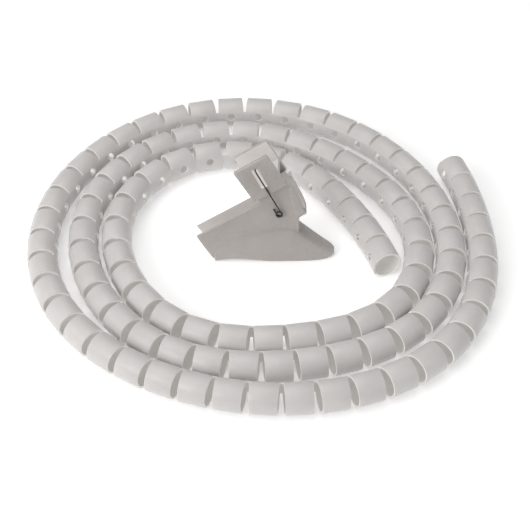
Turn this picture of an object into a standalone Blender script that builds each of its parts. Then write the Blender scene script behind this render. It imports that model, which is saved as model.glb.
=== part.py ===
"""Cable-tidy sleeve, coiled flat, with the zip tool that loads cables into it.

Metres, +Z up. The origin is at the middle of the object's footprint, on the surface that it lies on.
The sleeve is one moulding: rings on a flexible spine, coiled with the spine inwards. It is cut at its
slots into short runs. The last two rings at each end are hollow and hinge on the spine. The tool stands
on its sole inside the coil, and its gate swings on two torsion springs.
"""

import math

import bpy
from mathutils import Vector

MM = 0.001

# The sleeve
SLEEVE_RADIUS = 10.0 * MM
SLEEVE_WALL = 1.2 * MM
SLEEVE_SIDES = 24              # flats round the section
RING_COUNT = 106
RING_PITCH = 19.77 * MM        # measured along the spine
SPINE_OFFSET = 10.0 * MM       # from the sleeve's axis to the spine's neutral line
SPINE_ANGLE = 174.0            # degrees round the section: 0 is outwards from the coil, 90 is up
SPINE_HALF_ANGLE = 30.0
SLOT_WIDTH = 0.6 * MM
END_RINGS = 2                  # hollow rings at each free end, on their own hinge
RUN_RINGS = 6                  # rings in each run of the coil
FIT_GAP = 0.3 * MM             # between neighbouring solids

# The coil: the axis's distance from the coil's centre at each eighth of a turn, going clockwise
COIL_CENTRE = (2.4 * MM, -8.3 * MM)
FIRST_STATION = 60.0           # degrees
STATION_STEP = 45.0
START_ANGLE = 32.6             # where the sleeve's outer end lies
COIL_RADII = [
    179.5, 147.0, 144.5, 132.0, 130.0, 145.0, 152.5, 149.0,
    134.5, 124.5, 120.5, 105.0, 109.0, 117.5, 128.5, 123.0,
    103.5, 102.0, 99.5, 84.0, 88.0, 95.0, 106.5, 100.0,
    76.0, 70.0, 100.0, 174.0,
]
ROUTE_STEP = 0.25              # degrees between the points that the route is measured on

# The tool, in its own frame: X towards the toe, Y across, Z up from the sole
TOOL_PLACE = (2.3 * MM, -3.2 * MM)
CHANNEL_FOOT = (-45.3 * MM, 21.0 * MM)   # top corner of the heel mouth
CHANNEL_SLOPE = 35.2                     # degrees
CHANNEL_LENGTH = 76.0 * MM
CHANNEL_WALL = 1.3 * MM
RAKE = 0.12                              # lean of the heel mouth and of the gate, per unit of height
# Half widths of the channel at heights above its top edges, in mm: it bulges below its open top
CHANNEL_SIDE = [(5.5, 0.0), (6.0, -3.5), (6.4, -8.0), (6.6, -15.8), (6.5, -19.5), (5.9, -22.4), (4.6, -23.6)]
BORE_SIDE = [(4.2, 16.0), (4.2, 0.0), (4.7, -3.5), (5.1, -8.0), (5.3, -13.0), (5.2, -18.0), (3.9, -21.2),
             (2.0, -22.3)]
NECK_WALL_SIDE = [(5.6, 6.5), (5.6, -8.0)]
NECK_WALL_START, NECK_WALL_END = 51.5 * MM, 74.8 * MM
FLANGE_SIDE = [(6.1, -0.6), (6.5, -4.0), (6.9, -8.0), (7.1, -15.8), (7.0, -19.5), (6.2, -23.4), (4.6, -25.4)]
FLANGE_START, FLANGE_START_RAKE = 73.6 * MM, 0.38    # where it starts at the channel's top, and the lean
FLANGE_END, FLANGE_END_RAKE = 76.4 * MM, 0.22        # the same for the front mouth
NECK_OUTLINE = [(-6.0, 24.0), (22.3, 24.0), (22.3, 37.4), (20.5, 40.6), (0.0, 34.0)]
NECK_HALF_WIDTH = 6.2 * MM
PIVOT = (57.7 * MM, -12.7 * MM)          # along the channel, and above its top edge
BOSS_RADIUS = 1.1 * MM
BOSS_REACH = 9.0 * MM                    # from the tool's middle plane

GATE_START, GATE_END = 50.0 * MM, 75.4 * MM
GATE_FOOT, GATE_TOP = 5.2 * MM, 32.4 * MM
GATE_INNER, GATE_OUTER = 6.0 * MM, 8.5 * MM   # the cheeks' faces, from the tool's middle plane
WEB_FOOT, WEB_TOP = 14.0 * MM, 16.4 * MM
POCKET_WIDTH = 3.0 * MM                  # the cheek's pocket, where the spring's arm ends
POCKET_FOOT, POCKET_TOP = 11.5 * MM, 28.2 * MM
POCKET_DEPTH = 1.6 * MM

WIRE_RADIUS = 0.5 * MM
COIL_RADIUS = 1.95 * MM
COIL_TURNS = 1.5
COIL_OFFSET = 7.4 * MM                   # from the tool's middle plane to the spring's first turn
ARM_OFFSET = 9.3 * MM                    # and to its arm
HOOK_OFFSET = 7.3 * MM                   # and to the end of its hook
ARM_END = (66.8 * MM, 27.0 * MM)         # where the arm enters the pocket, like PIVOT

SLEEVE_COLOUR = (0.80, 0.79, 0.77, 1.0)
TOOL_COLOUR = (0.66, 0.64, 0.61, 1.0)
STEEL_COLOUR = (0.20, 0.20, 0.21, 1.0)


# ---------------------------------------------------------------- general helpers

def clear_scene():
    for thing in list(bpy.data.objects):
        bpy.data.objects.remove(thing)


def material(name, colour, roughness, metallic=0.0):
    made = bpy.data.materials.new(name)
    made.use_nodes = True
    shader = made.node_tree.nodes["Principled BSDF"]
    shader.inputs["Base Color"].default_value = colour
    shader.inputs["Roughness"].default_value = roughness
    shader.inputs["Metallic"].default_value = metallic
    return made


def add_mesh(name, points, faces, finish):
    mesh = bpy.data.meshes.new(name)
    mesh.from_pydata([tuple(p) for p in points], [], faces)
    mesh.update()
    thing = bpy.data.objects.new(name, mesh)
    bpy.context.scene.collection.objects.link(thing)
    mesh.materials.append(finish)
    return thing


def ring_area(ring):
    """The area vector of a closed ring of points."""
    total = Vector((0.0, 0.0, 0.0))
    for k, point in enumerate(ring):
        total += (point - ring[0]).cross(ring[(k + 1) % len(ring)] - ring[0])
    return total / 2


def loft(name, rings, finish):
    """A closed solid through rings of points, all of one count, with its faces pointing out."""
    if ring_area(rings[0]).dot(rings[-1][0] - rings[0][0]) < 0:
        rings = [ring[::-1] for ring in rings]
    count = len(rings[0])
    points = [p for ring in rings for p in ring]
    faces = []
    for level in range(len(rings) - 1):
        low, high = level * count, (level + 1) * count
        for k in range(count):
            after = (k + 1) % count
            faces.append((low + k, low + after, high + after, high + k))
    faces.append(tuple(reversed(range(count))))
    faces.append(tuple(range((len(rings) - 1) * count, len(rings) * count)))
    return add_mesh(name, points, faces, finish)


def as_helper(thing):
    """Marks a solid that only adds to or cuts another one."""
    thing.hide_render = True
    thing.display_type = "WIRE"
    return thing


def combine(target, other, operation):
    """Joins a helper solid to the target, or cuts the target with it."""
    step = target.modifiers.new(other.name, "BOOLEAN")
    step.operation = operation
    step.solver = "EXACT"
    step.object = as_helper(other)


# ---------------------------------------------------------------- the sleeve's route

def spline_slopes(values):
    """Slopes of the natural cubic spline through evenly spaced values, one step apart."""
    count = len(values)
    lower, right = [2.0], [3.0 * (values[1] - values[0])]
    for k in range(1, count - 1):
        share = 1.0 / lower[-1]
        lower.append(4.0 - share)
        right.append(3.0 * (values[k + 1] - values[k - 1]) - share * right[-1])
    share = 1.0 / lower[-1]
    lower.append(2.0 - share)
    right.append(3.0 * (values[-1] - values[-2]) - share * right[-1])
    slopes = [right[-1] / lower[-1]]
    for k in range(count - 2, -1, -1):
        slopes.insert(0, (right[k] - slopes[0]) / lower[k])
    return slopes


COIL_SLOPES = spline_slopes(COIL_RADII)


def coil_radius(angle):
    """Distance of the sleeve's axis from the coil's centre, at an angle in degrees."""
    place = (FIRST_STATION - angle) / STATION_STEP
    k = min(int(place), len(COIL_RADII) - 2)
    t = place - k
    a, b = COIL_RADII[k], COIL_RADII[k + 1]
    start, end = COIL_SLOPES[k], COIL_SLOPES[k + 1]
    cubic = (2 * a - 2 * b + start + end) * t ** 3 + (3 * b - 3 * a - 2 * start - end) * t ** 2
    return (cubic + start * t + a) * MM


def route_point(angle):
    turn = math.radians(angle)
    reach = coil_radius(angle)
    return Vector((COIL_CENTRE[0] + reach * math.cos(turn),
                   COIL_CENTRE[1] + reach * math.sin(turn), SLEEVE_RADIUS))


def outward_at(angle):
    """Unit vector square to the sleeve's axis, level, away from the coil's inside."""
    along = route_point(angle - ROUTE_STEP) - route_point(angle + ROUTE_STEP)
    return Vector((-along.y, along.x, 0.0)).normalized()


def spine_point(angle):
    return route_point(angle) - SPINE_OFFSET * outward_at(angle)


def ring_edges():
    """The angle of each ring's edge, where the spine's length is a whole number of pitches."""
    angle, run = START_ANGLE, 0.0
    edges, here = [angle], spine_point(angle)
    while len(edges) <= RING_COUNT:
        there = spine_point(angle - ROUTE_STEP)
        step = (there - here).length
        while len(edges) <= RING_COUNT and run + step >= len(edges) * RING_PITCH:
            edges.append(angle - ROUTE_STEP * (len(edges) * RING_PITCH - run) / step)
        run, here, angle = run + step, there, angle - ROUTE_STEP
    return edges


def shifted(angle, distance):
    """The angle that lies a short distance further along the sleeve."""
    per_degree = (route_point(angle - ROUTE_STEP) - route_point(angle)).length / ROUTE_STEP
    return angle - distance / per_degree


# ---------------------------------------------------------------- the sleeve's solids

def section_points(angle, turns, radius=SLEEVE_RADIUS):
    """Points round the sleeve's section at one place along it."""
    axis, out = route_point(angle), outward_at(angle)
    spokes = [(math.cos(math.radians(turn)), math.sin(math.radians(turn))) for turn in turns]
    return [axis + radius * (c * out + s * Vector((0.0, 0.0, 1.0))) for c, s in spokes]


def coil_run(name, angles, finish):
    """A stretch of the coil as a closed solid of the sleeve's outer size."""
    turns = [360.0 * k / SLEEVE_SIDES for k in range(SLEEVE_SIDES)]
    return loft(name, [section_points(angle, turns) for angle in angles], finish)


def end_run(name, edges, finish):
    """The hollow rings at a free end: a pipe, slotted between its rings all round except at the spine."""
    sides, step = SLEEVE_SIDES, 360.0 / SLEEVE_SIDES
    turns = [SPINE_ANGLE - SPINE_HALF_ANGLE + step * k for k in range(sides)]
    spine_sides = round(2 * SPINE_HALF_ANGLE / step)
    angles, slots = [shifted(edges[0], FIT_GAP / 2)], set()
    for edge in edges[1:-1]:
        slots.add(len(angles))
        angles += [shifted(edge, -SLOT_WIDTH / 2), shifted(edge, SLOT_WIDTH / 2)]
    angles.append(shifted(edges[-1], -FIT_GAP / 2))
    points = []
    for angle in angles:
        points += section_points(angle, turns)
        points += section_points(angle, turns, SLEEVE_RADIUS - SLEEVE_WALL)

    def outer(level, k):
        return 2 * level * sides + k % sides

    def inner(level, k):
        return outer(level, k) + sides

    def is_solid(level, k):
        if not 0 <= level < len(angles) - 1:
            return False
        return level not in slots or k % sides < spine_sides

    faces = []
    for level in range(len(angles) - 1):
        for k in range(sides):
            if not is_solid(level, k):
                continue
            high, after = level + 1, k + 1
            faces.append((outer(level, k), outer(level, after), outer(high, after), outer(high, k)))
            faces.append((inner(level, after), inner(level, k), inner(high, k), inner(high, after)))
            if not is_solid(level - 1, k):
                faces.append((outer(level, after), outer(level, k), inner(level, k), inner(level, after)))
            if not is_solid(high, k):
                faces.append((outer(high, k), outer(high, after), inner(high, after), inner(high, k)))
            if not is_solid(level, k - 1):
                faces.append((outer(level, k), outer(high, k), inner(high, k), inner(level, k)))
            if not is_solid(level, after):
                faces.append((outer(high, after), outer(level, after), inner(level, after), inner(high, after)))
    return add_mesh(name, points, faces, finish)


def build_sleeve(finish):
    edges = ring_edges()
    end_run("sleeve_outer_end", edges[:END_RINGS + 1], finish)
    first = END_RINGS
    number = 1
    while first < RING_COUNT - END_RINGS:
        last = min(first + RUN_RINGS, RING_COUNT - END_RINGS)
        angles = edges[first:last + 1]
        angles[0] = shifted(angles[0], FIT_GAP / 2)
        angles[-1] = shifted(angles[-1], -FIT_GAP / 2)
        coil_run(f"sleeve_run_{number:02d}", angles, finish)
        first, number = last, number + 1
    end_run("sleeve_inner_end", edges[-END_RINGS - 1:], finish)


# ---------------------------------------------------------------- the tool

def channel_frame():
    """The channel's direction, and the direction of its raked mouths, both in the tool's middle plane."""
    slope = math.radians(CHANNEL_SLOPE)
    along = Vector((math.cos(slope), 0.0, math.sin(slope)))
    up = Vector((-math.sin(slope), 0.0, math.cos(slope)))
    return along, up


def tool_point(along, height, across=0.0):
    """A point of the tool, from its place along the channel and above the channel's top edge."""
    t, n = channel_frame()
    foot = Vector((TOOL_PLACE[0] + CHANNEL_FOOT[0], TOOL_PLACE[1], CHANNEL_FOOT[1]))
    return foot + t * along + n * height + Vector((0.0, across, 0.0))


def raked(along, height, across=0.0, rake=RAKE):
    return tool_point(along + rake * height, height, across)


def trough(name, start, end, side, start_rake, end_rake, finish):
    """A bar along the channel whose section has the given half widths at the given heights."""
    outline = [(w * MM, h * MM) for w, h in side]
    outline += [(-w, h) for w, h in reversed(outline)]
    rings = [[raked(place, h, w, rake) for w, h in outline] for place, rake in ((start, start_rake), (end, end_rake))]
    return loft(name, rings, finish)


def neck_block(name, finish):
    """The solid between the channel and the shoe, under the flange."""
    rings = []
    for across in (NECK_HALF_WIDTH, -NECK_HALF_WIDTH):
        rings.append([Vector((TOOL_PLACE[0] + x * MM, TOOL_PLACE[1] + across, z * MM)) for x, z in NECK_OUTLINE])
    return loft(name, rings, finish)


def shoe_section(x, half_width, bottom, top, foot_radius, shoulder):
    """A section across the shoe: rounded foot, leaning shoulder, flat top."""
    outline = []
    for side in (1, -1):
        half = []
        for k in range(5):
            turn = math.pi / 2 * k / 4
            half.append((half_width - foot_radius * (1 - math.sin(turn)),
                         bottom + foot_radius * (1 - math.cos(turn))))
        height = top - bottom
        half.append((half_width, bottom + max(foot_radius, 0.55 * height)))
        half.append((half_width - 0.35 * shoulder, bottom + 0.84 * height))
        half.append((half_width - shoulder, top))
        half = [(side * w, z) for w, z in half]
        outline += half if side == 1 else half[::-1]
    return [Vector((TOOL_PLACE[0] + x, TOOL_PLACE[1] + w, z)) for w, z in outline]


def shoe(name, finish):
    """The toe branch: its sections as x, half width, sole, top, foot radius and shoulder, in mm."""
    sections = [
        (-33.4, 7.4, 0.1, 13.0, 0.6, 1.8),
        (-27.0, 7.7, 1.8, 21.0, 0.6, 2.0),
        (-20.0, 7.9, 2.2, 26.5, 0.6, 2.2),
        (-10.0, 8.0, 1.6, 28.5, 0.6, 2.3),
        (0.0, 8.0, 0.4, 29.6, 0.6, 2.3),
        (6.0, 8.0, 0.0, 30.0, 0.6, 2.0),
        (14.0, 7.9, 0.0, 30.4, 0.6, 1.6),
        (20.0, 7.7, 0.0, 28.4, 0.6, 1.2),
        (28.0, 7.4, 0.0, 20.6, 0.6, 1.0),
        (36.0, 6.6, 0.0, 13.2, 0.6, 0.9),
        (41.0, 5.4, 0.1, 9.6, 0.8, 0.8),
        (44.5, 3.8, 0.6, 7.6, 1.3, 0.7),
        (46.5, 2.0, 1.6, 6.0, 1.0, 0.5),
    ]
    rings = [shoe_section(*[value * MM for value in row]) for row in sections]
    return loft(name, rings, finish)


def cylinder_across(name, place, radius, reach, finish, sides=16):
    """A round bar across the tool, through a point of its middle plane."""
    rings = []
    for across in (reach, -reach):
        rings.append([place + Vector((radius * math.cos(2 * math.pi * k / sides), across,
                                      radius * math.sin(2 * math.pi * k / sides)))
                      for k in range(sides)])
    return loft(name, rings, finish)


def build_tool_body(finish):
    body = trough("tool_body", 0.0, CHANNEL_LENGTH, CHANNEL_SIDE, RAKE, FLANGE_END_RAKE, finish)
    combine(body, shoe("toe_branch", finish), "UNION")
    combine(body, neck_block("neck", finish), "UNION")
    combine(body, trough("flange", FLANGE_START, FLANGE_END, FLANGE_SIDE, FLANGE_START_RAKE,
                         FLANGE_END_RAKE, finish), "UNION")
    combine(body, trough("neck_walls", NECK_WALL_START, NECK_WALL_END, NECK_WALL_SIDE, FLANGE_END_RAKE,
                         RAKE, finish), "UNION")
    combine(body, cylinder_across("bosses", tool_point(*PIVOT), BOSS_RADIUS, BOSS_REACH, finish), "UNION")
    past = 12.0 * MM
    combine(body, trough("bore", -past, CHANNEL_LENGTH + past, BORE_SIDE, 0.0, 0.0, finish), "DIFFERENCE")
    return body


def slab(name, start, end, foot, top, low, high, finish):
    """A raked block of the gate, between two distances across."""
    rings = []
    for across in (high, low):
        rings.append([raked(start, foot, across), raked(end, foot, across),
                      raked(end, top, across), raked(start, top, across)])
    return loft(name, rings, finish)


def build_gate(finish):
    inner, outer = GATE_INNER, GATE_OUTER
    gate = slab("gate", GATE_START, GATE_END, GATE_FOOT, GATE_TOP, -outer, outer, finish)
    past = 5.0 * MM
    combine(gate, slab("upper_gap", GATE_START - past, GATE_END + past, WEB_TOP, GATE_TOP + past,
                       -inner, inner, finish), "DIFFERENCE")
    combine(gate, slab("lower_gap", GATE_START - past, GATE_END + past, GATE_FOOT - past, WEB_FOOT,
                       -inner, inner, finish), "DIFFERENCE")
    middle = ARM_END[0] - RAKE * ARM_END[1]
    for side in (-1, 1):
        combine(gate, slab("pocket", middle - POCKET_WIDTH / 2, middle + POCKET_WIDTH / 2, POCKET_FOOT,
                           POCKET_TOP, side * (outer - POCKET_DEPTH), side * (outer + past), finish),
                "DIFFERENCE")
    return gate


def spring_route(side):
    """The wire's points: a stub, the coil round the boss, the arm, and the hook into the pocket."""
    centre = tool_point(*PIVOT)
    end = tool_point(*ARM_END)
    arm = (end - centre).normalized()
    square = Vector((arm.z, 0.0, -arm.x))
    steps = 10
    points = [centre - square * COIL_RADIUS + arm * 4.5 * MM + Vector((0, side * COIL_OFFSET, 0))]
    for k in range(round(COIL_TURNS * steps) + 1):
        turn = 2 * math.pi * k / steps
        spoke = -square * math.cos(turn) - arm * math.sin(turn)
        reach = COIL_OFFSET + (ARM_OFFSET - COIL_OFFSET) * k / (COIL_TURNS * steps)
        points.append(centre + spoke * COIL_RADIUS + Vector((0, side * reach, 0)))
    points.append(end + Vector((0, side * ARM_OFFSET, 0)))
    points.append(end + Vector((0, side * HOOK_OFFSET, 0)))
    return points


def build_spring(name, side, finish):
    curve = bpy.data.curves.new(name, "CURVE")
    curve.dimensions = "3D"
    curve.bevel_depth = WIRE_RADIUS
    curve.bevel_resolution = 1
    curve.use_fill_caps = True
    route = spring_route(side)
    spline = curve.splines.new("POLY")
    spline.points.add(len(route) - 1)
    for point, place in zip(spline.points, route):
        point.co = (*place, 1.0)
    curve.materials.append(finish)
    thing = bpy.data.objects.new(name, curve)
    bpy.context.scene.collection.objects.link(thing)
    return thing


def main():
    clear_scene()
    sleeve = material("sleeve_plastic", SLEEVE_COLOUR, 0.45)
    tool = material("tool_plastic", TOOL_COLOUR, 0.40)
    steel = material("spring_steel", STEEL_COLOUR, 0.30, 1.0)
    build_sleeve(sleeve)
    build_tool_body(tool)
    build_gate(tool)
    build_spring("spring_near", -1, steel)
    build_spring("spring_far", 1, steel)


main()
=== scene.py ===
"""The cable-tidy sleeve in its coil, with the zip tool standing inside it: surfaces, light and camera."""

import math

import bpy
from mathutils import Matrix, Vector


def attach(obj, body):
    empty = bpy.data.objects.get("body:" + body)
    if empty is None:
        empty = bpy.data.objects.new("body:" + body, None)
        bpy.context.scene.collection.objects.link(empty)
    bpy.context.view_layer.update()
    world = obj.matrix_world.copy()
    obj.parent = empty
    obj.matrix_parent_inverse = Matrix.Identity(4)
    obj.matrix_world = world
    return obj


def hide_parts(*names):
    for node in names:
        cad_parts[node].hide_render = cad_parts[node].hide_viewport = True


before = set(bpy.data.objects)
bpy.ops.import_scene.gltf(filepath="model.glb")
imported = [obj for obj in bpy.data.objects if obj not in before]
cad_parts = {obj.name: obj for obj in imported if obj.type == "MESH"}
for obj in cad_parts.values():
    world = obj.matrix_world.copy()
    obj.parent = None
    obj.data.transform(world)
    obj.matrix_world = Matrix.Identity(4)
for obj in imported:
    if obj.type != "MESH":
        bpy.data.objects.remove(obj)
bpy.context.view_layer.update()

MM = 0.001

# ---------------------------------------------------------------- the sleeve's measures

SLEEVE_RADIUS = 10.0 * MM
SLEEVE_WALL = 1.2 * MM
RING_COUNT = 106
RING_PITCH = 19.77 * MM
RING_WIDTH = 18.5 * MM                   # at the spine
SLOT_TAPER = 0.036                       # share of the width that a ring loses at its top and bottom
SPINE_OFFSET = 10.0 * MM
SPINE_FROM, SPINE_TO = 143.5, 207.5      # degrees round the section: 0 is outwards, 90 is up
HOLE_ANGLE = 166.0
HOLE_RADIUS = 2.7 * MM
RING_SIDES = 90
HOLE_SIDES = 28
RING_ROUNDING = 0.28 * MM
RING_SKIN = 0.12 * MM                    # what lies deeper than this is inner wall or cut edge
END_RINGS = 2

# The coil: the axis's distance from the coil's centre in mm, at each eighth of a turn going clockwise.
# A fitting program worked these radii out and rounded them to half a millimetre: they are a fitted
# route, and weren't chosen one by one as a design.
COIL_CENTRE = (2.4 * MM, -8.3 * MM)
FIRST_STATION = 60.0
STATION_STEP = 45.0
START_ANGLE = 32.6
COIL_RADII = [
    179.5, 147.0, 144.5, 132.0, 130.0, 145.0, 152.5, 149.0,
    134.5, 124.5, 120.5, 105.0, 109.0, 117.5, 128.5, 123.0,
    103.5, 102.0, 99.5, 84.0, 88.0, 95.0, 106.5, 100.0,
    76.0, 70.0, 100.0, 174.0,
]
ROUTE_STEP = 0.25                        # degrees
SLOT_TOLERANCE = 0.001 * MM

# ---------------------------------------------------------------- the tool's measures

TOOL_PLACE = (2.3 * MM, -3.2 * MM)
CHANNEL_FOOT = (-45.3 * MM, 21.0 * MM)
CHANNEL_SLOPE = math.radians(35.2)
CHANNEL_LENGTH = 76.0 * MM
RAKE = 0.12
# Half widths in mm at heights above the channel's top edges: it bulges below its open top
CHANNEL_SIDE = [(5.5, 0.0), (6.0, -3.5), (6.4, -8.0), (6.6, -15.8), (6.5, -19.5), (5.9, -22.4), (4.2, -23.8)]
BORE_SIDE = [(4.2, 16.0), (4.2, 0.0), (4.7, -3.5), (5.1, -8.0), (5.3, -13.0), (5.2, -18.0), (3.9, -21.2),
             (1.0, -22.4)]
NECK_WALL_SIDE = [(5.6, 6.5), (5.6, -8.0)]
NECK_WALL_START, NECK_WALL_END = 51.5 * MM, 74.8 * MM
FLANGE_SIDE = [(6.1, -0.6), (6.5, -4.0), (6.9, -8.0), (7.1, -15.8), (7.0, -19.5), (6.2, -23.4), (4.4, -25.6)]
FLANGE_START, FLANGE_START_RAKE = 73.6 * MM, 0.38
FLANGE_END, FLANGE_END_RAKE = 76.4 * MM, 0.22
NECK_OUTLINE = [(-6.0, 24.0), (22.3, 24.0), (22.3, 37.4), (20.5, 40.6), (0.0, 34.0)]
NECK_HALF_WIDTH = 6.2 * MM
BOSS_RADIUS, BOSS_REACH = 1.1 * MM, 8.0 * MM
PIVOT = (57.7 * MM, -12.7 * MM)
GATE_START, GATE_END = 50.0 * MM, 75.4 * MM
GATE_FOOT, GATE_TOP = 5.2 * MM, 32.4 * MM
GATE_INNER, GATE_OUTER = 6.0 * MM, 8.5 * MM
WEB_FOOT, WEB_TOP = 14.0 * MM, 16.4 * MM
ARM_END = (66.8 * MM, 27.0 * MM)
WIRE_RADIUS = 0.5 * MM
COIL_RADIUS = 1.95 * MM
COIL_OFFSET = 7.4 * MM
COIL_TURNS, COIL_STEPS = 1.5, 24         # turns, and points in each
ARM_OFFSET = 9.3 * MM
STUB_NEAR, STUB_FAR = 2.0 * MM, 4.6 * MM
HOOK_EASE, HOOK_DEPTH = 0.35 * MM, 1.9 * MM
POCKET_FOOT, POCKET_TOP = Vector((63.3, 0, 11.6)) * MM, Vector((66.5, 0, 27.6)) * MM
POCKET_WIDTH, POCKET_DEPTH = 4.4 * MM, 4.0 * MM
POCKET_STANDS_OUT = 0.4 * MM             # the middle of its cutter, past the cheek's face
GAP_PAST = 5.0 * MM
BORE_PAST = 12.0 * MM
TOOL_GRID = 0.38 * MM                    # the cells that the tool's body is remeshed on

UP = Vector((0.0, 0.0, 1.0))

# ---------------------------------------------------------------- the stage's measures

CAMERA_PITCH = math.radians(45.1)        # down from level
CAMERA_DISTANCE = 0.880
CAMERA_AIM = Vector((0.00225, -0.02415, 0.010))
CAMERA_LENS = 90.7
CAMERA_FILM = 36.0


# ---------------------------------------------------------------- working in Blender

def select_only(*things):
    bpy.ops.object.select_all(action="DESELECT")
    for thing in things:
        thing.select_set(True)
    bpy.context.view_layer.objects.active = things[0]


def start_clean():
    if bpy.context.view_layer.objects.active is None:
        bpy.context.view_layer.objects.active = next(iter(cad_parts.values()))
    bpy.ops.object.select_all(action="DESELECT")


def settle(thing):
    """Puts the object's place and turn into its mesh."""
    select_only(thing)
    bpy.ops.object.transform_apply(location=True, rotation=True, scale=True)
    return thing


def new_piece(name):
    thing = bpy.context.active_object
    thing.name = name
    thing.data.name = name
    return thing


def finish_with(thing, kind, **settings):
    """Adds a modifier with these settings and applies it."""
    select_only(thing)
    step = thing.modifiers.new(kind.lower(), kind)
    for key, value in settings.items():
        setattr(step, key, value)
    bpy.ops.object.modifier_apply(modifier=step.name)
    return thing


def join_or_cut(thing, other, operation):
    finish_with(thing, "BOOLEAN", operation=operation, solver="EXACT", object=other)
    bpy.data.objects.remove(other)
    return thing


def smooth_shade(thing, degrees):
    select_only(thing)
    bpy.ops.object.shade_smooth_by_angle(angle=math.radians(degrees))


def recalculate(thing):
    select_only(thing)
    bpy.ops.object.mode_set(mode="EDIT")
    bpy.ops.mesh.select_all(action="SELECT")
    bpy.ops.mesh.remove_doubles(threshold=0.000005)
    bpy.ops.mesh.normals_make_consistent(inside=False)
    bpy.ops.object.mode_set(mode="OBJECT")


def pick(thing, kind, chosen):
    """Selects the vertices, edges or faces for which chosen(element) is true."""
    select_only(thing)
    bpy.ops.object.mode_set(mode="EDIT")
    bpy.ops.mesh.select_mode(type={"vertices": "VERT", "edges": "EDGE", "polygons": "FACE"}[kind])
    bpy.ops.mesh.select_all(action="DESELECT")
    bpy.ops.object.mode_set(mode="OBJECT")
    for element in getattr(thing.data, kind):
        element.select = bool(chosen(element))
    bpy.ops.object.mode_set(mode="EDIT")


def end_pick():
    bpy.ops.object.mode_set(mode="OBJECT")


# ---------------------------------------------------------------- the sleeve's route

def spline_slopes(values):
    count = len(values)
    lower, right = [2.0], [3.0 * (values[1] - values[0])]
    for k in range(1, count - 1):
        share = 1.0 / lower[-1]
        lower.append(4.0 - share)
        right.append(3.0 * (values[k + 1] - values[k - 1]) - share * right[-1])
    share = 1.0 / lower[-1]
    lower.append(2.0 - share)
    right.append(3.0 * (values[-1] - values[-2]) - share * right[-1])
    slopes = [right[-1] / lower[-1]]
    for k in range(count - 2, -1, -1):
        slopes.insert(0, (right[k] - slopes[0]) / lower[k])
    return slopes


COIL_SLOPES = spline_slopes(COIL_RADII)


def coil_radius(angle):
    place = (FIRST_STATION - angle) / STATION_STEP
    k = min(int(place), len(COIL_RADII) - 2)
    t = place - k
    a, b = COIL_RADII[k], COIL_RADII[k + 1]
    start, end = COIL_SLOPES[k], COIL_SLOPES[k + 1]
    cubic = (2 * a - 2 * b + start + end) * t ** 3 + (3 * b - 3 * a - 2 * start - end) * t ** 2
    return (cubic + start * t + a) * MM


def route_point(angle):
    turn, reach = math.radians(angle), coil_radius(angle)
    return Vector((COIL_CENTRE[0] + reach * math.cos(turn),
                   COIL_CENTRE[1] + reach * math.sin(turn), SLEEVE_RADIUS))


def outward_at(angle):
    along = route_point(angle - ROUTE_STEP) - route_point(angle + ROUTE_STEP)
    return Vector((-along.y, along.x, 0.0)).normalized()


def spine_point(angle):
    return route_point(angle) - SPINE_OFFSET * outward_at(angle)


def ring_edges():
    angle, run = START_ANGLE, 0.0
    edges, here = [angle], spine_point(angle)
    while len(edges) <= RING_COUNT:
        there = spine_point(angle - ROUTE_STEP)
        step = (there - here).length
        while len(edges) <= RING_COUNT and run + step >= len(edges) * RING_PITCH:
            edges.append(angle - ROUTE_STEP * (len(edges) * RING_PITCH - run) / step)
        run, here, angle = run + step, there, angle - ROUTE_STEP
    return edges


EDGES = ring_edges()


# ---------------------------------------------------------------- camera, light and floor

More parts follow.
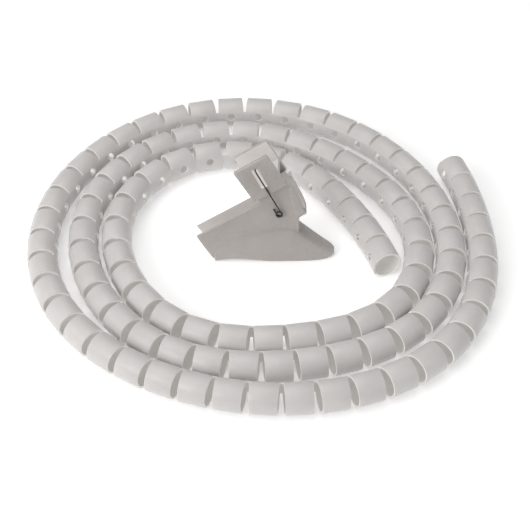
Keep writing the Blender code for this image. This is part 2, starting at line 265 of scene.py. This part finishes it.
def build_stage():
    scene = bpy.context.scene
    camera = bpy.data.objects.new("camera", bpy.data.cameras.new("camera"))
    scene.collection.objects.link(camera)
    back = Vector((0.0, -math.cos(CAMERA_PITCH), math.sin(CAMERA_PITCH)))
    camera.location = CAMERA_AIM + CAMERA_DISTANCE * back
    camera.rotation_euler = (math.pi / 2 - CAMERA_PITCH, 0.0, 0.0)
    camera.data.lens = CAMERA_LENS
    camera.data.sensor_width = CAMERA_FILM
    camera.data.clip_start, camera.data.clip_end = 0.01, 20.0
    scene.camera = camera
    scene.view_settings.view_transform = "Standard"

    def lamp(name, place, target, size, power, colour):
        light = bpy.data.lights.new(name, "AREA")
        light.shape = "RECTANGLE"
        light.size, light.size_y = size
        light.energy = power
        light.color = colour
        thing = bpy.data.objects.new(name, light)
        scene.collection.objects.link(thing)
        thing.location = place
        thing.rotation_euler = (Vector(target) - Vector(place)).to_track_quat("-Z", "Y").to_euler()

    lamp("overhead_softbox", (-0.35, 0.1, 1.5), (0.0, 0.0, 0.0), (1.5, 1.2), 9.0, (1.0, 0.992, 0.985))
    lamp("key_softbox", (-1.15, -1.1, 1.15), (0.0, 0.0, 0.02), (1.1, 0.9), 13.0, (1.0, 0.99, 0.985))
    lamp("left_softbox", (-1.3, -0.1, 0.7), (0.0, 0.0, 0.02), (0.9, 0.7), 2.5, (1.0, 0.995, 0.985))
    lamp("right_softbox", (1.3, -0.4, 0.9), (0.0, 0.0, 0.02), (0.9, 0.9), 2.5, (0.99, 0.995, 1.0))

    world = bpy.data.worlds.new("studio")
    scene.world = world
    world.use_nodes = True
    sky = world.node_tree.nodes["Background"]
    sky.inputs["Color"].default_value = (1.0, 1.0, 1.0, 1.0)
    sky.inputs["Strength"].default_value = 0.32

    bpy.ops.mesh.primitive_plane_add(size=8.0, location=(0.0, 0.0, 0.0))
    floor = new_piece("floor")
    finish = bpy.data.materials.new("pale_floor")
    finish.use_nodes = True
    shader = finish.node_tree.nodes["Principled BSDF"]
    shader.inputs["Base Color"].default_value = (0.97, 0.97, 0.97, 1.0)
    shader.inputs["Roughness"].default_value = 0.9
    shader.inputs["Specular IOR Level"].default_value = 0.1
    shader.inputs["Emission Color"].default_value = (1.0, 1.0, 1.0, 1.0)
    shader.inputs["Emission Strength"].default_value = 0.26
    floor.data.materials.append(finish)


# ---------------------------------------------------------------- finishes

def moulded_grain_group():
    """Faint clouding and a fine satin grain, as on a mould-textured plastic."""
    group = bpy.data.node_groups.new("moulded_grain", "ShaderNodeTree")
    for name, kind, start in (("Clouds Scale", "NodeSocketFloat", 60.0),
                              ("Grain Scale", "NodeSocketFloat", 2500.0)):
        socket = group.interface.new_socket(name=name, in_out="INPUT", socket_type=kind)
        socket.default_value = start
    group.interface.new_socket(name="Clouds", in_out="OUTPUT", socket_type="NodeSocketFloat")
    group.interface.new_socket(name="Grain", in_out="OUTPUT", socket_type="NodeSocketFloat")
    nodes, links = group.nodes, group.links
    inputs, outputs = nodes.new("NodeGroupInput"), nodes.new("NodeGroupOutput")
    place = nodes.new("ShaderNodeTexCoord")
    clouds = nodes.new("ShaderNodeTexNoise")
    clouds.inputs["Detail"].default_value = 4.0
    clouds.inputs["Roughness"].default_value = 0.6
    grain = nodes.new("ShaderNodeTexNoise")
    grain.inputs["Detail"].default_value = 3.0
    grain.inputs["Roughness"].default_value = 0.7
    links.new(place.outputs["Object"], clouds.inputs["Vector"])
    links.new(place.outputs["Object"], grain.inputs["Vector"])
    links.new(inputs.outputs["Clouds Scale"], clouds.inputs["Scale"])
    links.new(inputs.outputs["Grain Scale"], grain.inputs["Scale"])
    links.new(clouds.outputs["Fac"], outputs.inputs["Clouds"])
    links.new(grain.outputs["Fac"], outputs.inputs["Grain"])
    return group


def low_shade_group():
    """A mask that rises towards the surface that the object lies on, for painted shade that darkens the
    plastic low down.
    """
    group = bpy.data.node_groups.new("floor_shade", "ShaderNodeTree")
    for name, start in (("Height", 0.008), ("Amount", 0.5)):
        socket = group.interface.new_socket(name=name, in_out="INPUT", socket_type="NodeSocketFloat")
        socket.default_value = start
    group.interface.new_socket(name="Mask", in_out="OUTPUT", socket_type="NodeSocketFloat")
    nodes, links = group.nodes, group.links
    inputs, outputs = nodes.new("NodeGroupInput"), nodes.new("NodeGroupOutput")
    place = nodes.new("ShaderNodeTexCoord")
    split = nodes.new("ShaderNodeSeparateXYZ")
    fade = nodes.new("ShaderNodeMapRange")
    fade.interpolation_type = "SMOOTHSTEP"
    fade.inputs["From Min"].default_value = 0.0
    fade.inputs["To Min"].default_value = 1.0
    fade.inputs["To Max"].default_value = 0.0
    weigh = nodes.new("ShaderNodeMath")
    weigh.operation = "MULTIPLY"
    links.new(place.outputs["Object"], split.inputs["Vector"])
    links.new(split.outputs["Z"], fade.inputs["Value"])
    links.new(inputs.outputs["Height"], fade.inputs["From Max"])
    links.new(fade.outputs["Result"], weigh.inputs[0])
    links.new(inputs.outputs["Amount"], weigh.inputs[1])
    links.new(weigh.outputs["Value"], outputs.inputs["Mask"])
    return group


def plastic(name, bright, shade, low_shade_colour, roughness, grain, clouds, low_shade, low_shade_height, low_shade_amount, glow):
    """A satin moulding: two close colours in soft clouds, a darker tint low down that is painted shade, and a
    fine grain.
    """
    finish = bpy.data.materials.new(name)
    finish.use_nodes = True
    nodes, links = finish.node_tree.nodes, finish.node_tree.links
    shader = nodes["Principled BSDF"]
    pattern = nodes.new("ShaderNodeGroup")
    pattern.node_tree = grain
    pattern.inputs["Clouds Scale"].default_value = clouds
    low = nodes.new("ShaderNodeGroup")
    low.node_tree = low_shade
    low.inputs["Height"].default_value = low_shade_height
    low.inputs["Amount"].default_value = low_shade_amount
    tone = nodes.new("ShaderNodeMix")
    tone.data_type = "RGBA"
    tone.inputs["A"].default_value = (*bright, 1.0)
    tone.inputs["B"].default_value = (*shade, 1.0)
    spread = nodes.new("ShaderNodeMapRange")
    spread.inputs["From Min"].default_value = 0.35
    spread.inputs["From Max"].default_value = 0.65
    lower = nodes.new("ShaderNodeMix")
    lower.data_type = "RGBA"
    lower.inputs["B"].default_value = (*low_shade_colour, 1.0)
    rough = nodes.new("ShaderNodeMapRange")
    rough.inputs["To Min"].default_value = roughness - 0.06
    rough.inputs["To Max"].default_value = roughness + 0.08
    bump = nodes.new("ShaderNodeBump")
    bump.inputs["Strength"].default_value = 0.25
    bump.inputs["Distance"].default_value = 0.00006
    links.new(pattern.outputs["Clouds"], spread.inputs["Value"])
    links.new(spread.outputs["Result"], tone.inputs["Factor"])
    links.new(tone.outputs["Result"], lower.inputs["A"])
    links.new(low.outputs["Mask"], lower.inputs["Factor"])
    links.new(lower.outputs["Result"], shader.inputs["Base Color"])
    links.new(pattern.outputs["Clouds"], rough.inputs["Value"])
    links.new(rough.outputs["Result"], shader.inputs["Roughness"])
    links.new(pattern.outputs["Grain"], bump.inputs["Height"])
    links.new(bump.outputs["Normal"], shader.inputs["Normal"])
    shader.inputs["IOR"].default_value = 1.49
    shader.inputs["Specular IOR Level"].default_value = 0.40
    shader.inputs["Subsurface Weight"].default_value = glow
    shader.inputs["Subsurface Radius"].default_value = (1.0, 0.95, 0.88)
    shader.inputs["Subsurface Scale"].default_value = 0.003
    return finish


def inner_wall(name, bright, shade, roughness, grain, clouds, low_shade, through):
    """The inside of a thin moulding. A faint emission stands in for light coming through the wall."""
    finish = plastic(name, bright, shade, shade, roughness, grain, clouds, low_shade, 0.001, 0.0, 0.0)
    shader = finish.node_tree.nodes["Principled BSDF"]
    shader.inputs["Emission Color"].default_value = (*bright, 1.0)
    shader.inputs["Emission Strength"].default_value = through
    return finish


def spring_wire(grain):
    """Dark drawn wire with fine lighter specks, which are painted glints."""
    finish = bpy.data.materials.new("spring_wire")
    finish.use_nodes = True
    nodes, links = finish.node_tree.nodes, finish.node_tree.links
    shader = nodes["Principled BSDF"]
    pattern = nodes.new("ShaderNodeGroup")
    pattern.node_tree = grain
    pattern.inputs["Clouds Scale"].default_value = 700.0
    # The lighter second tone, in fine noise specks, is painted glints on the wire.
    tone = nodes.new("ShaderNodeMix")
    tone.data_type = "RGBA"
    tone.inputs["A"].default_value = (0.05, 0.05, 0.05, 1.0)
    tone.inputs["B"].default_value = (0.30, 0.30, 0.30, 1.0)
    spread = nodes.new("ShaderNodeMapRange")
    spread.inputs["From Min"].default_value = 0.50
    spread.inputs["From Max"].default_value = 0.72
    links.new(pattern.outputs["Clouds"], spread.inputs["Value"])
    links.new(spread.outputs["Result"], tone.inputs["Factor"])
    links.new(tone.outputs["Result"], shader.inputs["Base Color"])
    shader.inputs["Metallic"].default_value = 1.0
    shader.inputs["Roughness"].default_value = 0.32
    return finish


# ---------------------------------------------------------------- the sleeve

def section_turn(point):
    """Degrees round the sleeve's section, on a ring modelled along X with Y outwards."""
    return math.degrees(math.atan2(point.z, point.y)) % 360.0


def model_ring():
    """One ring with its share of the spine, straight along X and centred on the sleeve's axis."""
    start_clean()
    bpy.ops.mesh.primitive_cylinder_add(vertices=RING_SIDES, radius=SLEEVE_RADIUS, depth=RING_WIDTH,
                                        end_fill_type="NOTHING", location=(0, 0, 0),
                                        rotation=(0, math.pi / 2, 0))
    ring = settle(new_piece("ring_pattern"))
    half = RING_PITCH / 2
    for v in ring.data.vertices:
        v.co.x *= 1.0 - SLOT_TAPER * (v.co.y / SLEEVE_RADIUS + 1.0)
    for side in (1, -1):
        def on_spine(edge):
            ends = [ring.data.vertices[k].co for k in edge.vertices]
            return all(side * p.x > 0.4 * RING_WIDTH
                       and SPINE_FROM - 1.0 < section_turn(p) < SPINE_TO + 1.0 for p in ends)
        pick(ring, "edges", on_spine)
        bpy.ops.mesh.extrude_edges_move(TRANSFORM_OT_translate={"value": (side * 0.4 * MM, 0, 0)})
        end_pick()
        for v in ring.data.vertices:
            if v.select:
                v.co.x = side * half
    recalculate(ring)
    finish_with(ring, "SOLIDIFY", thickness=SLEEVE_WALL, offset=-1.0, use_even_offset=True)
    turn = math.radians(HOLE_ANGLE)
    spoke = Vector((0.0, math.cos(turn), math.sin(turn)))
    bpy.ops.object.select_all(action="DESELECT")
    bpy.ops.mesh.primitive_cylinder_add(vertices=HOLE_SIDES, radius=HOLE_RADIUS, depth=6 * MM,
                                        location=spoke * (SLEEVE_RADIUS - SLEEVE_WALL / 2),
                                        rotation=spoke.to_track_quat("Z", "X").to_euler())
    join_or_cut(ring, settle(new_piece("hole_cutter")), "DIFFERENCE")

    def on_cut(face):
        return all(abs(ring.data.vertices[k].co.x) > half - SLOT_TOLERANCE for k in face.vertices)
    pick(ring, "polygons", on_cut)
    bpy.ops.mesh.delete(type="FACE")
    end_pick()
    finish_with(ring, "BEVEL", width=RING_ROUNDING, segments=2, limit_method="ANGLE",
                angle_limit=math.radians(45), use_clamp_overlap=True)
    outside = SLEEVE_RADIUS - RING_SKIN
    # Cut edges take the third finish, a lighter glowing colour that is a painted highlight where the edges
    # catch the light.
    for face in ring.data.polygons:
        if math.hypot(face.center.y, face.center.z) < outside:
            face.material_index = 2 if abs(face.normal.x) > 0.35 else 1
    return ring


def lay_rings(name, pattern, first, last, finishes):
    """Copies the ring along the route, from one slot to another, and joins the copies at the spine."""
    half = RING_PITCH / 2
    source = pattern.data
    local = [v.co.copy() for v in source.vertices]
    polygons = [tuple(p.vertices) for p in source.polygons]
    sides = [p.material_index for p in source.polygons]
    points, faces = [], []
    for k in range(first, last):
        ends = [spine_point(EDGES[k]), spine_point(EDGES[k + 1])]
        outs = [outward_at(EDGES[k]), outward_at(EDGES[k + 1])]
        along = (ends[1] - ends[0]).normalized()
        out = Vector((-along.y, along.x, 0.0))
        middle = (ends[0] + ends[1]) / 2
        base = len(points)
        for p in local:
            if abs(p.x) > half - SLOT_TOLERANCE:
                side = int(p.x > 0)
                points.append(ends[side] + (p.y + SPINE_OFFSET) * outs[side] + p.z * UP)
            else:
                points.append(middle + p.x * along + (p.y + SPINE_OFFSET) * out + p.z * UP)
        faces += [tuple(base + i for i in polygon) for polygon in polygons]
    mesh = bpy.data.meshes.new(name)
    mesh.from_pydata([tuple(p) for p in points], [], faces)
    for finish in finishes:
        mesh.materials.append(finish)
    for face, side in zip(mesh.polygons, sides * (last - first)):
        face.material_index = side
    mesh.update()
    thing = bpy.data.objects.new(name, mesh)
    bpy.context.scene.collection.objects.link(thing)
    recalculate(thing)
    select_only(thing)
    bpy.ops.object.mode_set(mode="EDIT")
    bpy.ops.mesh.select_all(action="SELECT")
    bpy.ops.mesh.fill_holes(sides=0)
    bpy.ops.object.mode_set(mode="OBJECT")
    recalculate(thing)
    smooth_shade(thing, 40)
    return thing


def build_sleeve(*finishes):
    pattern = model_ring()
    coil = lay_rings("sleeve_coil", pattern, END_RINGS, RING_COUNT - END_RINGS, finishes)
    outer = lay_rings("sleeve_outer_tail", pattern, 0, END_RINGS, finishes)
    inner = lay_rings("sleeve_inner_tail", pattern, RING_COUNT - END_RINGS, RING_COUNT, finishes)
    bpy.data.objects.remove(pattern)
    runs = [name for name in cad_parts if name.startswith("sleeve_run_")]
    for piece, body, nodes in ((coil, "sleeve", runs), (outer, "outer_end", ["sleeve_outer_end"]),
                               (inner, "inner_end", ["sleeve_inner_end"])):
        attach(piece, body)
        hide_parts(*nodes)


# ---------------------------------------------------------------- the tool

ALONG = Vector((math.cos(CHANNEL_SLOPE), 0.0, math.sin(CHANNEL_SLOPE)))
RISE = Vector((-math.sin(CHANNEL_SLOPE), 0.0, math.cos(CHANNEL_SLOPE)))
FOOT = Vector((TOOL_PLACE[0] + CHANNEL_FOOT[0], TOOL_PLACE[1], CHANNEL_FOOT[1]))


def tool_point(along, height, across=0.0):
    return FOOT + along * ALONG + height * RISE + Vector((0.0, across, 0.0))


def tilted(thing):
    """Moves a solid modelled with X along the channel and Z above its top edge to its place."""
    place = Matrix.Translation(FOOT) @ Matrix.Rotation(-CHANNEL_SLOPE, 4, "Y")
    thing.data.transform(place)
    return thing


def raked_block(name, start, end, low, high, across_low, across_high):
    """A block along the channel whose two ends lean by the tool's rake."""
    bpy.ops.object.select_all(action="DESELECT")
    bpy.ops.mesh.primitive_cube_add(size=1.0, location=((start + end) / 2, (across_low + across_high) / 2,
                                                        (low + high) / 2),
                                    scale=(end - start, across_high - across_low, high - low))
    block = settle(new_piece(name))
    for v in block.data.vertices:
        v.co.x += RAKE * v.co.z
    return block


def eased(side):
    """The outline with its inner corners cut twice, which leaves it smooth."""
    for _ in range(2):
        smooth = [side[0]]
        for (w, h), (x, g) in zip(side, side[1:]):
            smooth += [(0.75 * w + 0.25 * x, 0.75 * h + 0.25 * g), (0.25 * w + 0.75 * x, 0.25 * h + 0.75 * g)]
        side = smooth + [side[-1]]
    return side


def drawn_bar(name, side, start, end, start_rake, end_rake):
    """A bar along the channel, drawn from half widths at heights; each end leans by its rake."""
    outline = [(w * MM, h * MM) for w, h in eased(side)]
    outline += [(-w, h) for w, h in reversed(outline)]
    bpy.ops.object.select_all(action="DESELECT")
    bpy.ops.mesh.primitive_circle_add(vertices=len(outline), radius=1.0, fill_type="NGON")
    bar = new_piece(name)
    for v, (w, h) in zip(bar.data.vertices, outline):
        v.co = (start, w, h)
    draw_out(bar, (end - start, 0, 0))
    for v in bar.data.vertices:
        v.co.x += (start_rake if v.co.x < (start + end) / 2 else end_rake) * v.co.z
    return tilted(bar)


def draw_out(thing, way):
    """Extrudes a flat face into a solid."""
    select_only(thing)
    bpy.ops.object.mode_set(mode="EDIT")
    bpy.ops.mesh.select_all(action="SELECT")
    bpy.ops.mesh.extrude_region_move(TRANSFORM_OT_translate={"value": way})
    bpy.ops.object.mode_set(mode="OBJECT")
    recalculate(thing)


def neck_block():
    bpy.ops.object.select_all(action="DESELECT")
    bpy.ops.mesh.primitive_circle_add(vertices=len(NECK_OUTLINE), radius=1.0, fill_type="NGON")
    neck = new_piece("neck")
    for v, (x, z) in zip(neck.data.vertices, NECK_OUTLINE):
        v.co = (TOOL_PLACE[0] + x * MM, TOOL_PLACE[1] - NECK_HALF_WIDTH, z * MM)
    draw_out(neck, (0, 2 * NECK_HALF_WIDTH, 0))
    return neck


def bar_across(name, centre, radius, reach):
    bpy.ops.object.select_all(action="DESELECT")
    bpy.ops.mesh.primitive_cylinder_add(vertices=36, radius=radius, depth=2 * reach, location=centre,
                                        rotation=(math.pi / 2, 0, 0))
    return settle(new_piece(name))


def build_shoe():
    """The shoe: a ring of points drawn out along X through its stations."""
    # distance along, half width at the middle, half width at the top, sole, top, squareness of top and sole
    stations = [
        (-33.6, 7.5, 5.2, 0.0, 12.5, 2.4, 20.0),
        (-30.0, 7.7, 5.3, 0.9, 17.0, 2.6, 24.0),
        (-26.0, 7.8, 5.5, 1.8, 21.5, 2.8, 30.0),
        (-20.0, 7.9, 6.3, 2.2, 26.5, 3.0, 30.0),
        (-10.0, 8.0, 6.9, 1.6, 28.5, 4.0, 30.0),
        (0.0, 8.0, 7.2, 0.4, 29.6, 4.6, 30.0),
        (6.0, 8.0, 7.3, 0.0, 30.2, 5.0, 30.0),
        (13.0, 7.9, 7.3, 0.0, 30.6, 6.0, 30.0),
        (18.0, 7.8, 7.2, 0.0, 30.2, 6.5, 30.0),
        (20.2, 7.7, 7.1, 0.0, 28.6, 6.5, 30.0),
        (24.0, 7.6, 7.0, 0.0, 24.6, 6.5, 30.0),
        (28.0, 7.4, 6.8, 0.0, 20.8, 6.5, 30.0),
        (32.0, 7.1, 6.5, 0.0, 17.0, 6.5, 30.0),
        (36.0, 6.6, 6.0, 0.0, 13.5, 6.0, 24.0),
        (39.0, 6.0, 5.4, 0.0, 11.2, 5.0, 16.0),
        (41.5, 5.3, 4.9, 0.15, 9.6, 4.5, 10.0),
        (44.5, 4.0, 3.7, 0.6, 7.7, 3.5, 6.0),
        (46.4, 2.2, 2.0, 1.6, 6.1, 2.6, 4.0),
    ]
    count = 72
    bpy.ops.object.select_all(action="DESELECT")
    bpy.ops.mesh.primitive_circle_add(vertices=count, radius=1.0, fill_type="NGON")
    shoe = new_piece("shoe")

    def section(station):
        x, middle, top_width, low, high, top_power, foot_power = station
        ring = []
        for k in range(count):
            turn = 2 * math.pi * (k + 0.5) / count
            c, s = math.cos(turn), math.sin(turn)
            power = top_power if s > 0 else foot_power
            y = math.copysign(abs(c) ** (2 / power), c)
            z = math.copysign(abs(s) ** (2 / power), s)
            split = low + 0.45 * (high - low)
            height = split + z * ((high - split) if z > 0 else (split - low))
            width = middle + (top_width - middle) * max(z, 0.0) ** 1.5
            ring.append(Vector((TOOL_PLACE[0] + x * MM, TOOL_PLACE[1] + y * width * MM, height * MM)))
        return ring

    here = section(stations[0])
    for v, place in zip(shoe.data.vertices, here):
        v.co = place
    bpy.ops.object.mode_set(mode="EDIT")
    bpy.ops.mesh.select_mode(type="FACE")
    bpy.ops.mesh.select_all(action="SELECT")
    for station in stations[1:]:
        bpy.ops.mesh.extrude_region_move(TRANSFORM_OT_translate={"value": (MM, 0, 0)})
        bpy.ops.object.mode_set(mode="OBJECT")
        there = section(station)
        for v in shoe.data.vertices:
            if v.select:
                k = min(range(count), key=lambda i: (v.co - Vector((MM, 0, 0)) - here[i]).length)
                v.co = there[k]
        here = there
        bpy.ops.object.mode_set(mode="EDIT")
    bpy.ops.object.mode_set(mode="OBJECT")
    recalculate(shoe)
    return shoe


def bore_bar(name):
    return drawn_bar(name, BORE_SIDE, -BORE_PAST, CHANNEL_LENGTH + BORE_PAST, 0.0, 0.0)


def build_tool(finish, inside):
    start_clean()
    body = build_shoe()
    body.data.materials.append(finish)
    join_or_cut(body, drawn_bar("channel", CHANNEL_SIDE, 0.0, CHANNEL_LENGTH, RAKE, FLANGE_END_RAKE), "UNION")
    join_or_cut(body, neck_block(), "UNION")
    join_or_cut(body, drawn_bar("neck_walls", NECK_WALL_SIDE, NECK_WALL_START, NECK_WALL_END,
                                FLANGE_END_RAKE, RAKE), "UNION")
    join_or_cut(body, drawn_bar("flange", FLANGE_SIDE, FLANGE_START, FLANGE_END, FLANGE_START_RAKE,
                                FLANGE_END_RAKE), "UNION")
    finish_with(body, "REMESH", mode="VOXEL", voxel_size=TOOL_GRID, use_smooth_shade=True)
    finish_with(body, "SMOOTH", factor=0.5, iterations=5)
    bore = bore_bar("bore")
    bore.data.materials.append(inside)
    finish_with(body, "BOOLEAN", operation="DIFFERENCE", solver="EXACT", object=bore, material_mode="TRANSFER")
    bpy.data.objects.remove(bore)
    bosses = bar_across("bosses", tool_point(*PIVOT), BOSS_RADIUS, BOSS_REACH)
    finish_with(bosses, "BEVEL", width=0.3 * MM, segments=2, limit_method="ANGLE")
    bosses.data.materials.append(finish)
    join_or_cut(bosses, bore_bar("bore_again"), "DIFFERENCE")
    join_or_cut(body, bosses, "UNION")
    body.name = "tool_shell"
    smooth_shade(body, 38)
    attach(body, "tool")
    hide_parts("tool_body")


def build_gate(finish, inside, pocket_finish):
    start_clean()
    gate = raked_block("gate_cheeks", GATE_START, GATE_END, GATE_FOOT, GATE_TOP, -GATE_OUTER, GATE_OUTER)
    gate.data.materials.append(finish)
    gap = raked_block("upper_gap", GATE_START - GAP_PAST, GATE_END + GAP_PAST, WEB_TOP,
                      GATE_TOP + GAP_PAST, -GATE_INNER, GATE_INNER)
    gap.data.materials.append(inside)
    finish_with(gate, "BOOLEAN", operation="DIFFERENCE", solver="EXACT", object=gap, material_mode="TRANSFER")
    bpy.data.objects.remove(gap)
    join_or_cut(gate, raked_block("lower_gap", GATE_START - GAP_PAST, GATE_END + GAP_PAST,
                                  GATE_FOOT - GAP_PAST, WEB_FOOT, -GATE_INNER, GATE_INNER), "DIFFERENCE")
    for side in (-1, 1):
        bpy.ops.object.select_all(action="DESELECT")
        rise = POCKET_TOP - POCKET_FOOT
        middle = (POCKET_FOOT + POCKET_TOP) / 2
        place = (middle.x, side * (GATE_OUTER + POCKET_STANDS_OUT), middle.z)
        bpy.ops.mesh.primitive_cube_add(size=1.0, location=place,
                                        scale=(POCKET_WIDTH, POCKET_DEPTH, rise.length),
                                        rotation=(0, math.atan2(rise.x, rise.z), 0))
        pocket = settle(new_piece("pocket"))
        finish_with(pocket, "BEVEL", width=0.6 * MM, segments=3, limit_method="ANGLE")
        pocket.data.materials.append(pocket_finish)
        finish_with(gate, "BOOLEAN", operation="DIFFERENCE", solver="EXACT", object=pocket,
                    material_mode="TRANSFER")
        bpy.data.objects.remove(pocket)
    finish_with(gate, "BEVEL", width=0.35 * MM, segments=3, limit_method="ANGLE",
                angle_limit=math.radians(50), use_clamp_overlap=True)
    tilted(gate)
    recalculate(gate)
    smooth_shade(gate, 40)
    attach(gate, "gate")
    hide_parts("gate")


def build_spring(name, node, side, finish):
    """Turns round the boss, a stub at the inner end, and the arm with its hook at the outer end."""
    centre, end = tool_point(*PIVOT), tool_point(*ARM_END)
    arm = (end - centre).normalized()
    square = Vector((arm.z, 0.0, -arm.x))
    stub_side = Vector((0, side * COIL_OFFSET, 0))
    points = [centre - square * COIL_RADIUS + arm * STUB_FAR + stub_side,
              centre - square * COIL_RADIUS + arm * STUB_NEAR + stub_side]
    count = round(COIL_TURNS * COIL_STEPS)
    for k in range(count + 1):
        turn = 2 * math.pi * k / COIL_STEPS
        reach = COIL_OFFSET + (ARM_OFFSET - COIL_OFFSET) * k / count
        points.append(centre - COIL_RADIUS * (square * math.cos(turn) + arm * math.sin(turn))
                      + Vector((0, side * reach, 0)))
    start = points[-1]
    for share in (0.25, 0.5, 0.75, 0.94):
        points.append(start.lerp(end + Vector((0, side * ARM_OFFSET, 0)), share))
    points.append(end + Vector((0, side * (ARM_OFFSET - HOOK_EASE), 0)))
    points.append(end + Vector((0, side * (ARM_OFFSET - HOOK_DEPTH), 0)))
    curve = bpy.data.curves.new(name, "CURVE")
    curve.dimensions = "3D"
    curve.bevel_depth = WIRE_RADIUS
    curve.bevel_resolution = 4
    curve.use_fill_caps = True
    spline = curve.splines.new("POLY")
    spline.points.add(len(points) - 1)
    for target, place in zip(spline.points, points):
        target.co = (*place, 1.0)
    thing = bpy.data.objects.new(name, curve)
    bpy.context.scene.collection.objects.link(thing)
    select_only(thing)
    bpy.ops.object.convert(target="MESH")
    thing = bpy.context.active_object
    recalculate(thing)
    smooth_shade(thing, 50)
    thing.data.materials.clear()
    thing.data.materials.append(finish)
    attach(thing, "gate")
    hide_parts(node)


# ---------------------------------------------------------------- everything

build_stage()
grain = moulded_grain_group()
low_shade = low_shade_group()
# The darker third colour of each plastic, mixed in low down by the mask, is painted shade towards the floor.
sleeve_finish = plastic("sleeve_plastic", (0.645, 0.629, 0.621), (0.60, 0.584, 0.577), (0.55, 0.535, 0.527),
                        0.31, grain, 45.0, low_shade, 0.009, 0.25, 0.45)
# Inside walls, the tool's bore and gap, and the gate's pockets get lighter colours than the outside and a
# glow: painted light for light coming through the thin plastic.
inside_finish = inner_wall("sleeve_inside", (0.74, 0.722, 0.70), (0.70, 0.682, 0.662),
                           0.5, grain, 45.0, low_shade, 0.12)
tool_finish = plastic("tool_plastic", (0.475, 0.443, 0.422), (0.43, 0.401, 0.382), (0.385, 0.358, 0.342),
                      0.26, grain, 70.0, low_shade, 0.012, 0.3, 0.35)
tool_inside_finish = inner_wall("tool_inside", (0.63, 0.605, 0.587), (0.59, 0.566, 0.549),
                                0.45, grain, 70.0, low_shade, 0.17)
pocket_finish = inner_wall("gate_pocket", (0.70, 0.665, 0.64), (0.66, 0.627, 0.603),
                           0.45, grain, 70.0, low_shade, 0.30)
# The rings' cut edges: a lighter colour and a glow, painted highlight lines.
edge_highlight_finish = inner_wall("sleeve_edge_highlight", (0.80, 0.785, 0.765), (0.76, 0.745, 0.725),
                         0.4, grain, 45.0, low_shade, 0.16)
wire_finish = spring_wire(grain)
build_sleeve(sleeve_finish, inside_finish, edge_highlight_finish)
build_tool(tool_finish, tool_inside_finish)
build_gate(tool_finish, tool_inside_finish, pocket_finish)
build_spring("spring_wire_near", "spring_near", -1, wire_finish)
build_spring("spring_wire_far", "spring_far", 1, wire_finish)
